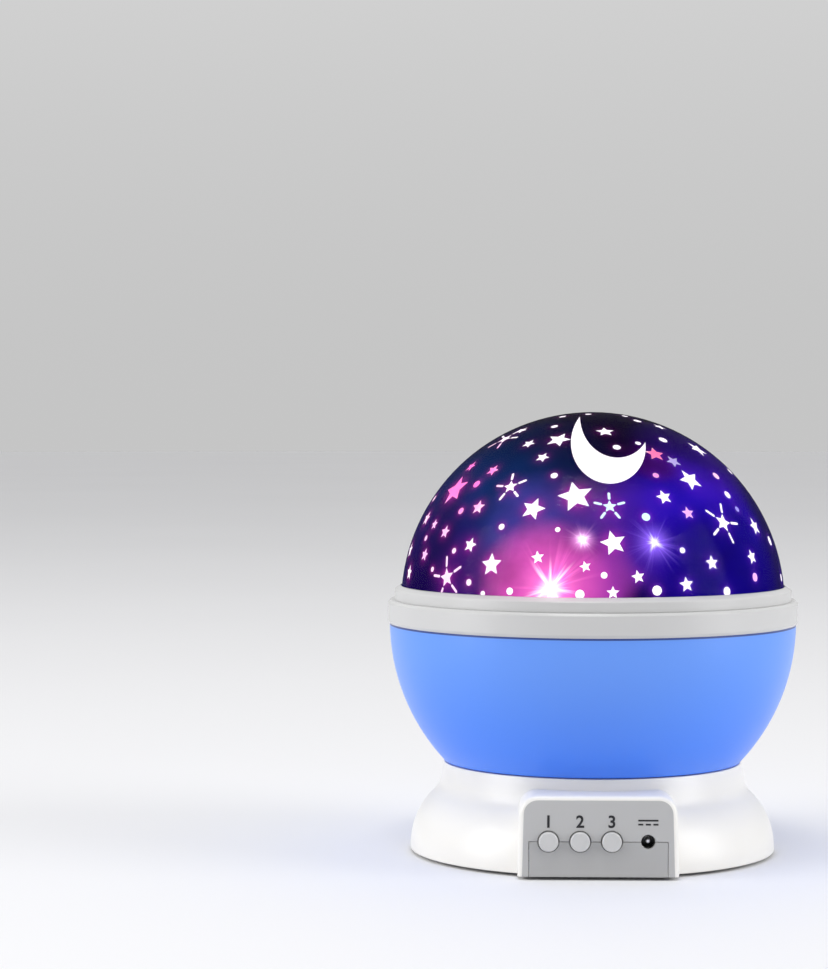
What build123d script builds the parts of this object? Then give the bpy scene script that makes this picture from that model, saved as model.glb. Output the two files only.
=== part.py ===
from build123d import *
from math import acos, asin, atan2, cos, degrees, pi, radians, sin, sqrt, tan
import os

# Star night light projector. Millimetres, +Z up, origin on the spin axis at the surface it stands on.
# The base stands still. The bowl, collar and dome turn on the base; the dome lifts off the collar.

# ---------------------------------------------------------------- general clearances
fit_gap = 0.05            # radial gap of a close fit inside one body
pin_gap = 0.03            # radial running gap of a pin or axle
seat_gap = 0.1            # axial play under a turning piece
part_gap = 0.3            # gap between parts that pass each other
seam_gap = 0.15           # visible seam between two mouldings
over = 1.0                # how far a cutting shape stands beyond the piece

# ---------------------------------------------------------------- base housing
foot_proud = 1.0          # how far the rubber feet stand below the base
cover_thickness = 2.0
base_wall = 2.0
skirt_radius = 57.7
neck_radius = 47.1
skirt_curve = 33.52       # radius of the round skirt if its slope were upright; less on a flatter slope
cove_curve = 6.5          # radius of the hollow below the neck
shoulder_step = 1.8       # corner of skirt slope and neck line, outside the neck
shoulder_drop = 0.3       # shoulder corner below the deck's top
shoulder_rise = 8.3       # shoulder corner above the skirt corner
neck_gap = 0.4            # visible gap between neck and bowl

# ---------------------------------------------------------------- battery bay
cell_radius = 5.25
cell_body = 43.3
cell_nub_radius = 1.9
cell_nub = 1.2
cell_count = 4
cell_spacing = 11.3
bay_end_room = 2.75       # room for a contact at each end of a cell
bay_side_room = 1.3
bay_wall = 1.5
bay_x = -8.0              # middle of the bay
bay_y = 6.0
contact_thickness = 0.4
contact_width = 8.0
contact_height = 8.5
contact_edge = 1.0        # plate beside the bowed spring
contact_foot = 1.0        # foot of the spring on the plate
door_gap = 0.35
hinge_radius = 1.1
hinge_pin_radius = 0.7
hinge_pin_length = 1.8
hinge_rise = 1.2          # hinge axis above the underside of the door
hinge_reach = 2.4         # hinge axis behind the bay's rear wall
hinge_side = 3.0          # hinge barrel shorter than the door at each side
hinge_cheek = 2.0         # plate thickness beside and above a hinge pin
latch_width = 12.0
latch_depth = 6.0
latch_slot = 0.8
latch_lip = 1.0           # finger notch behind the door's edge, and its depth

# ---------------------------------------------------------------- deck, drive and gears
lead_room = 2.9           # height for leads between bay roof and deck
deck_thickness = 2.0
gear_room = 4.3           # gear train's outermost pitch circle inside the neck's wall
pressure_angle = 20.0
addendum_share = 0.75     # tooth heights above and below the pitch circle as shares of the module
dedendum_share = 1.0625
tooth_play = 0.12         # each tooth is thinner by this at the pitch circle
turntable_teeth = 60
wheel_teeth = 30
pinion_teeth = 12
gear_width = 2.5
gear_level_gap = 0.35     # between the lower and the upper gear level
turntable_web = 2.0
turntable_margin = 1.1    # turntable inside the neck
motor_reach = 33.0        # motor shaft from the spin axis
motor_radius = 12.2
motor_height = 12.5
motor_flange = 0.8
motor_ear_reach = 15.5
motor_ear_radius = 3.2
motor_boss_radius = 3.0
motor_boss_height = 1.2
motor_shaft_radius = 1.5
motor_shaft_above = 0.8   # shaft end above the pinion
axle_radius = 1.0
axle_boss_radius = 2.5
axle_boss_depth = 3.5

# ---------------------------------------------------------------- lamp column
journal_radius = 8.0
journal_gap = 0.06        # radial running gap of the turntable's bearing
column_bore = 4.5
column_flange_radius = 14.2
column_flange = 2.0
column_collar_radius = 10.5
washer_thickness = 0.5
washer_width = 1.8
hub_wall = 2.9
hub_length = 22.0
clip_thickness = 1.0
clip_width = 3.6
clip_groove = 1.4
clip_mouth = 8.0
holder_radius = 13.0
holder_thickness = 2.0
holder_spigot = 4.0
lamp_board_radius = 10.8
board_thickness = 1.6
lamp_drop = 7.1           # lamp board's top below the dome's centre
lamp_radius = 2.5
lamp_flange = 0.4
lamp_flange_height = 1.0
lamp_height = 8.6
lamp_circle = 5.4
lamp_turn = 45.0          # direction of the first lamp
lamp_cap_wall = 1.2
lamp_cap_straight = 2.2

# ---------------------------------------------------------------- bowl, collar and dome
bowl_wall = 2.0
bowl_floor = 2.0
bowl_floor_margin = 8.5   # bowl's floor inside its circle of screws
bowl_inset = 0.1          # bowl's foot inside the neck
rim_step = 0.6            # collar stands out over the bowl
rim_drop = 0.33           # bowl ends just below its widest place
collar_height = 7.4
collar_step = 2.0         # collar stands out over the dome ring
collar_bevel = 0.8
collar_foot_width = 0.5   # bevel at the collar's lower edge
collar_foot_height = 0.8
collar_wall = 2.3
collar_tongue = 2.7       # how far the collar reaches down into the bowl
collar_tongue_wall = 1.9
collar_groove_depth = 4.1
collar_sleeve = 1.7
ledge_width = 4.0
ledge_thickness = 1.8
reflector_thickness = 1.5
reflector_gap = 2.5       # clear of the standing lamp cap
dome_radius = 60.8
dome_wall = 1.6
dome_sink = 1.4           # dome's centre below the collar's top
film_thickness = 0.4
film_gap = 0.05
ring_wall = 2.1
ring_floor = 1.2
ring_height = 4.0
ring_bevel_width = 1.7
ring_bevel_drop = 1.0
ring_lip = 0.5            # ring's inner edge above its outer edge height
spigot_wall = 1.5
spigot_depth = 1.8

# ---------------------------------------------------------------- control panel
panel_stand = 0.9         # panel face in front of the skirt
panel_half_width = 24.1
panel_draft = 0.7         # narrower at the top, each side
panel_top_above_deck = 4.7
panel_corner = 5.5
panel_edge = 1.5
panel_depth = 20.0
tongue_half_width = 20.8
control_rise = 10.6       # buttons and inlet above the base's underside
button_radius = 2.95
button_gap = 0.3
button_proud = 1.4
button_travel = 0.5
button_stem = 1.6         # cap behind the panel's inner face
button_flange_radius = 3.8
button_flange = 1.0
button_pitch = 9.45
button_first_x = -14.9
button_count = 3
button_round = 0.45
inlet_x = 14.8
inlet_hole = 2.13
inlet_bore = 2.0
inlet_pin_radius = 0.65
inlet_pin_proud = 0.3
inlet_body_half = 3.5
inlet_back = 1.2
switch_size = 6.0
switch_height = 3.5
switch_stem_radius = 1.7
switch_stem_gap = 0.15
switch_stem_inside = 1.0
switch_stem_room = 0.8
board_half_width = 21.3
board_bottom_gap = 1.4
board_top_gap = 0.6
board_post = 4.0          # posts behind the control board
board_post_width = 4.6
board_post_height = 6.6
board_screw_inset = 1.8
chip_length = 9.0
chip_width = 6.0
chip_height = 1.6

# ---------------------------------------------------------------- screws, feet and leads
screw_radius = 1.1
screw_head_radius = 1.9
screw_head = 1.3
screw_slot_share = 0.8    # slot's radius as a share of the screw's
screw_end_gap = 0.3
screw_boss_wall = 2.0
cover_screw_reach = 46.0
cover_screw_angles = (-160.0, -20.0, 90.0)
cover_screw_length = 10.0
cover_pad = 1.2
foot_radius = 5.0
foot_depth = 1.0          # foot inside its recess
foot_inner_reach = 36.3   # feet stand midway between this radius and the skirt's wall
foot_beside_bay = 4.7     # foot's middle outside the battery bay's wall
column_screw_angles = (90.0, 210.0, 330.0)
turntable_screw_inset = 5.5
turntable_screw_count = 4
turntable_screw_turn = 45.0
reflector_screw_count = 3
lead_radius = 0.8
lead_bend = 5.0
lead_clear = 5.0          # straight stretch of a lead at each of its ends
lead_drop = 3.0
lamp_lead_bend = 15.0
lamp_lead_run = 15.0      # lamp lead goes down this far in front of the bay
motor_lead_run = 14.64    # motor lead turns this far in front of the motor
battery_lead_shift = 7.5  # battery lead's board end beside the bay's middle
screw_sink = 0.5          # reflector's screw heads stand on this much of the plate

# ---------------------------------------------------------------- star film
pattern_unit = 1.0        # length unit of the star lists
star_waist = 0.47         # inner corners of a star as a share of its radius
ray_start = 1.17          # rays of a sparkle star, in star radii
ray_end = 2.3
ray_width = 0.8
moon_x = 3.9              # crescent seen from the front, from the dome's centre
moon_z = 51.5
moon_radius = 11.6
moon_hollow_x = 6.6
moon_hollow_z = 58.6
moon_hollow_radius = 11.0

# ---------------------------------------------------------------- places worked out from the sizes
# heights, from the surface upwards
base_z = foot_proud
floor_z = base_z + cover_thickness
cell_z = floor_z + part_gap + cell_radius
bay_roof_z = cell_z + cell_radius + part_gap
bay_top_z = bay_roof_z + bay_wall
deck_under_z = bay_top_z + lead_room
deck_z = deck_under_z + deck_thickness
axle_seat_z = deck_z + gear_level_gap * 2
wheel_z = axle_seat_z + seat_gap
wheel_top_z = wheel_z + gear_width
upper_gear_z = wheel_top_z + gear_level_gap
turntable_z = upper_gear_z + gear_width + gear_level_gap
bowl_z = turntable_z + turntable_web
neck_z = bowl_z - neck_gap
axle_top_z = turntable_z - gear_level_gap / 2
idler_top_z = axle_top_z - gear_level_gap

shoulder_radius = neck_radius + shoulder_step
bowl_foot_radius = neck_radius - bowl_inset
turntable_radius = neck_radius - base_wall - turntable_margin
turntable_screw_reach = turntable_radius - turntable_screw_inset
bowl_floor_hole = turntable_screw_reach - bowl_floor_margin
ring_seat_radius = dome_radius + fit_gap
ring_radius = ring_seat_radius + ring_wall
collar_radius = ring_radius + collar_step
bowl_radius = collar_radius - rim_step
bowl_centre_z = bowl_z + sqrt(bowl_radius**2 - bowl_foot_radius**2)
collar_z = bowl_centre_z - rim_drop
collar_top_z = collar_z + collar_height
dome_centre_z = collar_top_z - dome_sink

film_radius = dome_radius - dome_wall - film_gap
spigot_radius = film_radius - film_thickness - part_gap
collar_inner_radius = spigot_radius + part_gap
reflector_top_z = collar_top_z - spigot_depth - part_gap
reflector_z = reflector_top_z - reflector_thickness

# lamp column
column_shoulder_z = upper_gear_z - seat_gap - washer_thickness
hub_top_z = upper_gear_z + hub_length
clip_z = hub_top_z + seat_gap
lamp_board_z = dome_centre_z - lamp_drop - board_thickness
holder_z = lamp_board_z - holder_thickness
hub_radius = journal_radius + hub_wall
cap_round_z = lamp_board_z + lamp_cap_straight
reflector_hole = holder_radius + reflector_gap

# battery bay
cell_length = cell_body + cell_nub
bay_half_length = cell_length / 2 + bay_end_room
bay_half_width = cell_spacing * (cell_count - 1) / 2 + cell_radius + bay_side_room
bay_front = bay_y - bay_half_length
bay_rear = bay_y + bay_half_length
hinge_y = bay_rear + bay_wall + hinge_reach
hinge_z = base_z + hinge_rise
hinge_front = hinge_y - hinge_radius - part_gap * 2

# feet, in two pairs beside the battery bay
foot_reach = (skirt_radius - base_wall + foot_inner_reach) / 2
foot_x = bay_half_width + bay_wall - bay_x + foot_beside_bay
foot_y = sqrt(foot_reach**2 - foot_x**2)
foot_places = [(x, y) for x in (-foot_x, foot_x) for y in (-foot_y, foot_y)]

# control panel; the front of the lamp looks along -Y
panel_y = -(skirt_radius + panel_stand)
panel_inner_y = panel_y + base_wall
panel_top_z = deck_z + panel_top_above_deck
control_z = base_z + control_rise
flange_y = panel_inner_y + part_gap
stem_end_y = panel_inner_y + button_stem
switch_front_y = stem_end_y + button_travel + part_gap * 2
board_y = switch_front_y + switch_height
board_back_y = board_y + board_thickness
board_bottom_z = floor_z + board_bottom_gap
board_top_z = deck_under_z - board_top_gap
board_screw_x = board_half_width - board_screw_inset
board_screw_z = floor_z + board_post_height / 2
column_screw_reach = column_flange_radius - screw_head_radius - part_gap
button_places = [button_first_x + button_pitch * i for i in range(button_count)]

# gear train: the turntable's gear, a compound idler and the motor's pinion
gear_reach = neck_radius - base_wall - gear_room
gear_module = 2 * gear_reach / (turntable_teeth + pinion_teeth + wheel_teeth)
tooth_addendum = gear_module * addendum_share
tooth_dedendum = gear_module * dedendum_share
turntable_pitch = gear_module * turntable_teeth / 2
wheel_pitch = gear_module * wheel_teeth / 2
pinion_pitch = gear_module * pinion_teeth / 2
idler_reach = turntable_pitch + pinion_pitch
motor_mesh = wheel_pitch + pinion_pitch
idler_cosine = (motor_reach**2 + idler_reach**2 - motor_mesh**2) / (2 * motor_reach * idler_reach)
idler_angle = degrees(acos(idler_cosine))
idler_x = idler_reach * cos(radians(idler_angle))
idler_y = idler_reach * sin(radians(idler_angle))
motor_angle = degrees(atan2(-idler_y, motor_reach - idler_x))   # from the idler to the motor


# ---------------------------------------------------------------- small helpers
def disc(radius, z0, z1, x=0.0, y=0.0):
    """Upright cylinder between two heights."""
    return Pos(x, y, (z0 + z1) / 2) * Cylinder(radius, z1 - z0)


def tube(outer, inner, z0, z1, x=0.0, y=0.0):
    """Upright tube between two heights."""
    return disc(outer, z0, z1, x, y) - disc(inner, z0 - over, z1 + over, x, y)


def block(x0, x1, y0, y1, z0, z1):
    """Box between two corners."""
    return Pos((x0 + x1) / 2, (y0 + y1) / 2, (z0 + z1) / 2) * Box(x1 - x0, y1 - y0, z1 - z0)


def rod(radius, x, y0, y1, z):
    """Cylinder along Y."""
    return Pos(x, (y0 + y1) / 2, z) * Rot(90, 0, 0) * Cylinder(radius, y1 - y0)


def around(reach, angle):
    """Point in plan at a distance and a direction from the spin axis."""
    return reach * cos(radians(angle)), reach * sin(radians(angle))


def turned(*edges):
    """Solid of revolution about the spin axis; the edges are drawn as radius and height."""
    outline = make_face(Wire(list(edges)))
    return revolve(Plane.XZ * outline, Axis.Z)


def turned_polygon(*points):
    """Solid of revolution of a polygon of radius and height pairs."""
    return revolve(Plane.XZ * make_face(Polyline(*points, close=True)), Axis.Z)


def on_sphere(radius, centre_z, angle):
    """Radius and height of a point on a sphere at an elevation angle in radians."""
    return radius * cos(angle), centre_z + radius * sin(angle)


def sphere_arc(radius, centre_z, low, high):
    """Arc of a sphere's outline between two elevation angles in radians."""
    points = [on_sphere(radius, centre_z, angle) for angle in (low, (low + high) / 2, high)]
    return ThreePointArc(*points)


def sphere_shell(radius, thickness, centre_z, low_z):
    """Round cap of even thickness, open below, from a height up to its pole."""
    low_outer = asin((low_z - centre_z) / radius)
    low_inner = asin((low_z - centre_z) / (radius - thickness))
    outer = sphere_arc(radius, centre_z, low_outer, pi / 2)
    inner = sphere_arc(radius - thickness, centre_z, low_inner, pi / 2)
    return turned(outer, Line(outer @ 1, inner @ 1), inner, Line(inner @ 0, outer @ 0))


def screw_up(x, y, head_z, length):
    """Screw that points up, its head below head_z."""
    head = disc(screw_head_radius, head_z - screw_head, head_z, x, y)
    slot = disc(screw_radius * screw_slot_share, head_z - screw_head, head_z - screw_head / 2, x, y)
    return head + disc(screw_radius, head_z, head_z + length, x, y) - slot


def screw_down(x, y, head_z, length):
    """Screw that points down, its head above head_z."""
    head = disc(screw_head_radius, head_z, head_z + screw_head, x, y)
    slot = disc(screw_radius * screw_slot_share, head_z + screw_head / 2, head_z + screw_head, x, y)
    return head + disc(screw_radius, head_z - length, head_z, x, y) - slot


def lead(points, bend):
    """Round lead along straight runs joined by arcs."""
    path = FilletPolyline(*points, radius=bend)
    return sweep(Plane(path @ 0, z_dir=path % 0) * Circle(lead_radius), path=path)


def save(shape, name):
    """Write one piece to its own file."""
    export_step(shape, "parts/" + name + ".step")


# ---------------------------------------------------------------- base housing
def skirt_outline(inset):
    """Ogee line of the base, from the underside to the neck's top, moved inwards by a wall."""
    skirt_z = deck_z - shoulder_drop - shoulder_rise
    shoulder_z = deck_z - shoulder_drop
    low_turn = atan2(skirt_radius - shoulder_radius, shoulder_rise)
    neck_turn = atan2(shoulder_radius - neck_radius, neck_z - shoulder_z)
    low_shift = inset * tan(low_turn / 2)
    half_turn = (low_turn + neck_turn) / 2
    curve = skirt_curve * cos(low_turn)
    reach = inset / cos((low_turn - neck_turn) / 2)
    points = [
        (skirt_radius - inset, base_z),
        (skirt_radius - inset, skirt_z - low_shift),
        (shoulder_radius - reach * cos(half_turn), shoulder_z - reach * sin(half_turn)),
        (neck_radius - inset / cos(neck_turn), neck_z),
    ]
    return FilletPolyline(*points, radius=[curve - inset, cove_curve + inset])


def skirt_solid(inset):
    """Solid of revolution inside the base's outline."""
    line = skirt_outline(inset)
    top = line @ 1
    low = line @ 0
    closing = Polyline(top, (0, top.Y), (0, low.Y), low)
    return revolve(Plane.XZ * make_face(line + closing), Axis.Z)


def panel_block(inset, low_z, high_z):
    """Block behind the control panel, with a slight draft and round upper corners."""
    top_half = panel_half_width - panel_draft - inset
    low_half = panel_half_width - inset
    corners = [(-low_half, low_z), (low_half, low_z), (top_half, high_z), (-top_half, high_z)]
    face = make_face(Polyline(*corners, close=True))
    face = fillet(face.vertices().group_by(Axis.Y)[-1], panel_corner - inset / 2)
    front = panel_y + inset
    return extrude(Plane(origin=(0, front, 0), x_dir=(1, 0, 0), z_dir=(0, -1, 0)) * face, -panel_depth)


def panel_openings(extra):
    """Round holes for the buttons and the inlet."""
    front = panel_y - over
    back = panel_inner_y + over
    holes = [rod(button_radius + button_gap + extra, x, front, back, control_z) for x in button_places]
    return holes + [rod(inlet_hole + extra, inlet_x, front, back, control_z)]


def make_base_shell():
    outer_block = panel_block(0, base_z, panel_top_z)
    front_face = outer_block.faces().sort_by(Axis.Y)[0]
    rounded = front_face.edges().sort_by(Axis.Z)[1:]
    outer_block = fillet(rounded, panel_edge)
    skirt = skirt_solid(0)
    inner = skirt_solid(base_wall)
    far = skirt_radius * 3
    below_deck = block(-far, far, -far, far, -far, deck_under_z)
    above_deck = block(-far, far, -far, far, deck_z, far)
    inner_block = panel_block(base_wall, base_z - over, panel_top_z - base_wall)
    shell = skirt + outer_block
    shell -= (inner + disc(skirt_radius - base_wall, base_z - over, base_z)) & below_deck
    shell -= (inner + disc(neck_radius - base_wall, neck_z - over, neck_z + over)) & above_deck
    shell -= inner_block & below_deck
    shell -= inner_block - skirt - below_deck
    shell += disc(axle_boss_radius, deck_under_z - axle_boss_depth, axle_seat_z, idler_x, idler_y)
    shell -= disc(axle_radius + fit_gap, deck_under_z - axle_boss_depth, axle_seat_z + over, idler_x, idler_y)
    shell -= disc(column_bore, deck_under_z - over, deck_z + over)
    shell -= disc(motor_boss_radius + part_gap, deck_under_z - over, deck_z + over, motor_reach, 0)
    for y in (-motor_ear_reach, motor_ear_reach):
        shell -= disc(screw_radius + fit_gap, deck_under_z - over, deck_z - screw_end_gap / 2, motor_reach, y)
    for angle in column_screw_angles:
        x, y = around(column_screw_reach, angle)
        shell -= disc(screw_radius + fit_gap, deck_under_z - over, deck_z + over, x, y)
    for angle in cover_screw_angles:
        x, y = around(cover_screw_reach, angle)
        low = floor_z + cover_pad
        shell += disc(screw_radius + screw_boss_wall, low, deck_under_z, x, y)
        shell -= disc(screw_radius + fit_gap, low - over, low + cover_screw_length, x, y)
    half = tongue_half_width
    shell -= block(-half, half, panel_y - over, panel_inner_y + over, base_z - over, control_z)
    return shell - panel_openings(0)


def make_bottom_cover():
    half = tongue_half_width - seam_gap
    plate = disc(skirt_radius - base_wall - seam_gap, base_z, floor_z)
    plate += block(-half, half, panel_y, -skirt_radius / 2, base_z, floor_z)
    plate += block(-half, half, panel_y, panel_inner_y, base_z, control_z - seam_gap)
    plate += bay_walls()
    for x in (-board_screw_x, board_screw_x):
        side = board_post_width / 2
        post_y = board_back_y + board_post
        post = block(x - side, x + side, board_back_y, post_y, base_z, floor_z + board_post_height)
        plate += post - rod(screw_radius + fit_gap, x, board_back_y - over, post_y + over, board_screw_z)
    for angle in cover_screw_angles:
        x, y = around(cover_screw_reach, angle)
        plate += disc(screw_radius + screw_boss_wall, base_z, floor_z + cover_pad - part_gap, x, y)
        plate -= disc(screw_radius + seam_gap, base_z - over, floor_z + cover_pad, x, y)
        plate -= disc(screw_head_radius + part_gap, base_z - over, base_z + screw_head + part_gap, x, y)
    for x, y in foot_places:
        plate -= disc(foot_radius + fit_gap, base_z - over, base_z + foot_depth, x, y)
    plate -= door_cutout()
    return plate - panel_openings(0)


def bay_walls():
    """Box around the cells, standing on the cover plate and open below."""
    x0 = bay_x - bay_half_width
    x1 = bay_x + bay_half_width
    box = block(x0 - bay_wall, x1 + bay_wall, bay_front - bay_wall, bay_rear + bay_wall, base_z, bay_top_z)
    cheek_x = bay_half_width - hinge_side + hinge_pin_length + hinge_cheek
    cheek_top = hinge_z + hinge_pin_radius + hinge_cheek
    cheek_y = hinge_y + hinge_radius + hinge_cheek
    cheek = block(bay_x - cheek_x, bay_x + cheek_x, hinge_front, cheek_y, base_z, cheek_top)
    return box + cheek - block(x0, x1, bay_front, bay_rear, base_z - over, bay_roof_z)


def door_cutout():
    """Opening for the door and its hinge barrel, with the two pin holes."""
    x0 = bay_x - bay_half_width
    x1 = bay_x + bay_half_width
    cut = block(x0, x1, bay_front, hinge_front, base_z - over, floor_z + part_gap)
    barrel_half = bay_half_width - hinge_side + part_gap
    cut += block(bay_x - barrel_half, bay_x + barrel_half, hinge_front - over,
                 hinge_y + hinge_radius + part_gap, base_z - over, hinge_z + hinge_radius + part_gap)
    pin_half = bay_half_width - hinge_side + hinge_pin_length + seam_gap
    pins = Pos(bay_x, hinge_y, hinge_z) * Rot(0, 90, 0) * Cylinder(hinge_pin_radius + pin_gap, 2 * pin_half)
    return cut + pins


def make_battery_door():
    x0 = bay_x - bay_half_width + door_gap
    x1 = bay_x + bay_half_width - door_gap
    y0 = bay_front + door_gap
    door = block(x0, x1, y0, hinge_front - door_gap, base_z, floor_z)
    barrel_half = bay_half_width - hinge_side
    door += block(bay_x - barrel_half, bay_x + barrel_half, hinge_front - door_gap * 2, hinge_y,
                  hinge_z - hinge_radius, hinge_z)
    door += Pos(bay_x, hinge_y, hinge_z) * Rot(0, 90, 0) * Cylinder(hinge_radius, 2 * barrel_half)
    pin_half = barrel_half + hinge_pin_length
    door += Pos(bay_x, hinge_y, hinge_z) * Rot(0, 90, 0) * Cylinder(hinge_pin_radius, 2 * pin_half)
    for side in (-1, 1):
        x = bay_x + side * latch_width / 2
        x0 = x - latch_slot / 2
        door -= block(x0, x0 + latch_slot, y0 - over, y0 + latch_depth, base_z - over, floor_z + over)
    notch = latch_width / 2 - latch_slot * 2
    notch_end = y0 + latch_depth / 2
    door -= block(bay_x - notch, bay_x + notch, y0 + latch_lip, notch_end, base_z - over, base_z + latch_lip)
    return door


def make_rubber_foot(x, y):
    foot = disc(foot_radius, 0, base_z + foot_depth - fit_gap, x, y)
    return chamfer(foot.faces().sort_by(Axis.Z)[0].edges(), foot_proud / 3)


def make_cover_screws():
    head_z = base_z + screw_head + part_gap
    places = [around(cover_screw_reach, angle) for angle in cover_screw_angles]
    length = floor_z + cover_pad + cover_screw_length - screw_end_gap - head_z
    return Compound([screw_up(x, y, head_z, length).solid() for x, y in places])


# ---------------------------------------------------------------- battery cells and contacts
def cell_places():
    """Centre line of each cell and which way its nub points."""
    first = bay_x - cell_spacing * (cell_count - 1) / 2
    return [(first + cell_spacing * i, 1 if i % 2 == 0 else -1) for i in range(cell_count)]


def make_cell(x, way):
    end = bay_y + way * (cell_length / 2 - cell_nub)
    start = bay_y - way * cell_length / 2
    body = rod(cell_radius, x, min(start, end), max(start, end), cell_z)
    tip = end + way * cell_nub
    return body + rod(cell_nub_radius, x, min(end, tip), max(end, tip), cell_z)


def make_battery_contacts():
    """A plate with a bowed spring at each end of each cell, riveted to the bay's end walls."""
    pieces = []
    for x, way in cell_places():
        for side in (-1, 1):
            wall = bay_y + side * (bay_half_length - fit_gap)
            inner = wall - side * contact_thickness
            x0 = x - contact_width / 2
            x1 = x + contact_width / 2
            z0 = cell_z - contact_height / 2
            z1 = cell_z + contact_height / 2
            plate = block(x0, x1, min(wall, inner), max(wall, inner), z0, z1)
            tip = bay_y + side * (cell_length / 2 + seat_gap)
            rise = contact_height / 2 - contact_edge
            behind = tip + side * contact_thickness
            low = rise - contact_foot
            bow = ThreePointArc((inner, cell_z - rise), (tip, cell_z), (inner, cell_z + rise))
            back = ThreePointArc((inner, cell_z + low), (behind, cell_z), (inner, cell_z - low))
            outline = bow + Line(bow @ 1, back @ 0) + back + Line(back @ 1, bow @ 0)
            side_plane = Plane(origin=(x0 + contact_edge, 0, 0), x_dir=(0, 1, 0), z_dir=(1, 0, 0))
            face = side_plane * make_face(outline)
            pieces.append((plate + extrude(face, contact_width - contact_edge * 2)).solid())
    return Compound(pieces)


# ---------------------------------------------------------------- control board and inlet
def make_control_board():
    board = block(-board_half_width, board_half_width, board_y, board_back_y, board_bottom_z, board_top_z)
    for x in (-board_screw_x, board_screw_x):
        board -= rod(screw_radius + fit_gap, x, board_y - over, board_back_y + over, board_screw_z)
    return board


def make_board_screws():
    length = board_thickness + board_post - screw_end_gap
    screw = screw_down(0, 0, 0, length)
    placed = [Pos(x, board_y, board_screw_z) * Rot(90, 0, 0) * screw for x in (-board_screw_x, board_screw_x)]
    return Compound([piece.solid() for piece in placed])


def make_tact_switch(x):
    half = switch_size / 2
    body = block(x - half, x + half, switch_front_y, board_y, control_z - half, control_z + half)
    depth = switch_stem_inside + switch_stem_room + button_travel
    bore = switch_stem_radius + switch_stem_gap
    return body - rod(bore, x, switch_front_y - over, switch_front_y + depth, control_z)


def make_switch_plunger(x):
    return rod(switch_stem_radius, x, stem_end_y, switch_front_y + switch_stem_inside, control_z)


def make_button_cap(x):
    cap = rod(button_radius, x, panel_y - button_proud, stem_end_y, control_z)
    cap = fillet(cap.faces().sort_by(Axis.Y)[0].edges(), button_round)
    return cap + rod(button_flange_radius, x, flange_y, flange_y + button_flange, control_z)


def make_controller_chip():
    x0 = -board_half_width / 2
    z0 = control_z - chip_width / 2
    return block(x0, x0 + chip_length, board_back_y, board_back_y + chip_height, z0, z0 + chip_width)


def make_inlet():
    half = inlet_body_half
    front = panel_inner_y + fit_gap
    body = block(inlet_x - half, inlet_x + half, front, board_y, control_z - half, control_z + half)
    body -= rod(inlet_bore, inlet_x, front - over, board_y - inlet_back, control_z)
    pin = rod(inlet_pin_radius, inlet_x, front - inlet_pin_proud, board_y - inlet_back, control_z)
    tip = pin.faces().sort_by(Axis.Y)[0].edges()
    return body + chamfer(tip, inlet_pin_radius / 3)


# ---------------------------------------------------------------- motor and gear train
def involute(angle):
    return tan(angle) - angle


def gear(teeth, phase, z0, x=0.0, y=0.0):
    """Spur gear with a tooth centred on the phase angle in degrees."""
    pitch = gear_module * teeth / 2
    slope = radians(pressure_angle)
    base = pitch * cos(slope)
    root = pitch - tooth_dedendum
    tip = pitch + tooth_addendum
    start = max(base, root)
    half = (pi * gear_module / 2 - tooth_play) / (2 * pitch)
    points = []
    for tooth in range(teeth):
        centre = radians(phase) + 2 * pi * tooth / teeth
        flank = []
        for radius in (start, (start + tip) / 2, tip):
            flank.append((radius, half + involute(slope) - involute(acos(base / radius))))
        if root < base:
            flank.insert(0, (root, flank[0][1]))
        right = [(r * cos(centre - turn), r * sin(centre - turn)) for r, turn in flank]
        left = [(r * cos(centre + turn), r * sin(centre + turn)) for r, turn in reversed(flank)]
        points += right + left
    return Pos(x, y, z0) * extrude(make_face(Polyline(*points, close=True)), gear_width)


def make_turntable():
    """Disc under the bowl's floor with its gear and its bearing hub."""
    table = disc(turntable_radius, turntable_z, bowl_z)
    table += gear(turntable_teeth, idler_angle, upper_gear_z)
    table += disc(turntable_pitch - tooth_dedendum * 2, upper_gear_z, turntable_z)
    table += disc(turntable_pitch - tooth_dedendum, turntable_z - gear_level_gap, turntable_z)
    table += disc(hub_radius, upper_gear_z, hub_top_z)
    for x, y in turntable_screw_places():
        table -= disc(screw_radius + fit_gap, turntable_z - over, bowl_z + over, x, y)
    return table - disc(journal_radius + journal_gap, upper_gear_z - over, hub_top_z + over)


def make_idler():
    """Large wheel driven by the motor, with the small gear that drives the turntable."""
    half_pitch = 180 / pinion_teeth
    idler = gear(wheel_teeth, motor_angle, wheel_z, idler_x, idler_y)
    idler += disc(pinion_pitch - tooth_dedendum, wheel_top_z, idler_top_z, idler_x, idler_y)
    idler += gear(pinion_teeth, idler_angle + 180 + half_pitch, upper_gear_z, idler_x, idler_y)
    return idler - disc(axle_radius + pin_gap, wheel_z - over, idler_top_z + over, idler_x, idler_y)


def make_drive_pinion():
    half_pitch = 180 / pinion_teeth
    pinion = gear(pinion_teeth, motor_angle + 180 + half_pitch, wheel_z, motor_reach, 0)
    return pinion - disc(motor_shaft_radius + fit_gap, wheel_z - over, wheel_top_z + over, motor_reach, 0)


def make_motor_shaft():
    top = wheel_top_z + motor_shaft_above
    return disc(motor_shaft_radius, deck_under_z - gear_width, top, motor_reach, 0)


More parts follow.
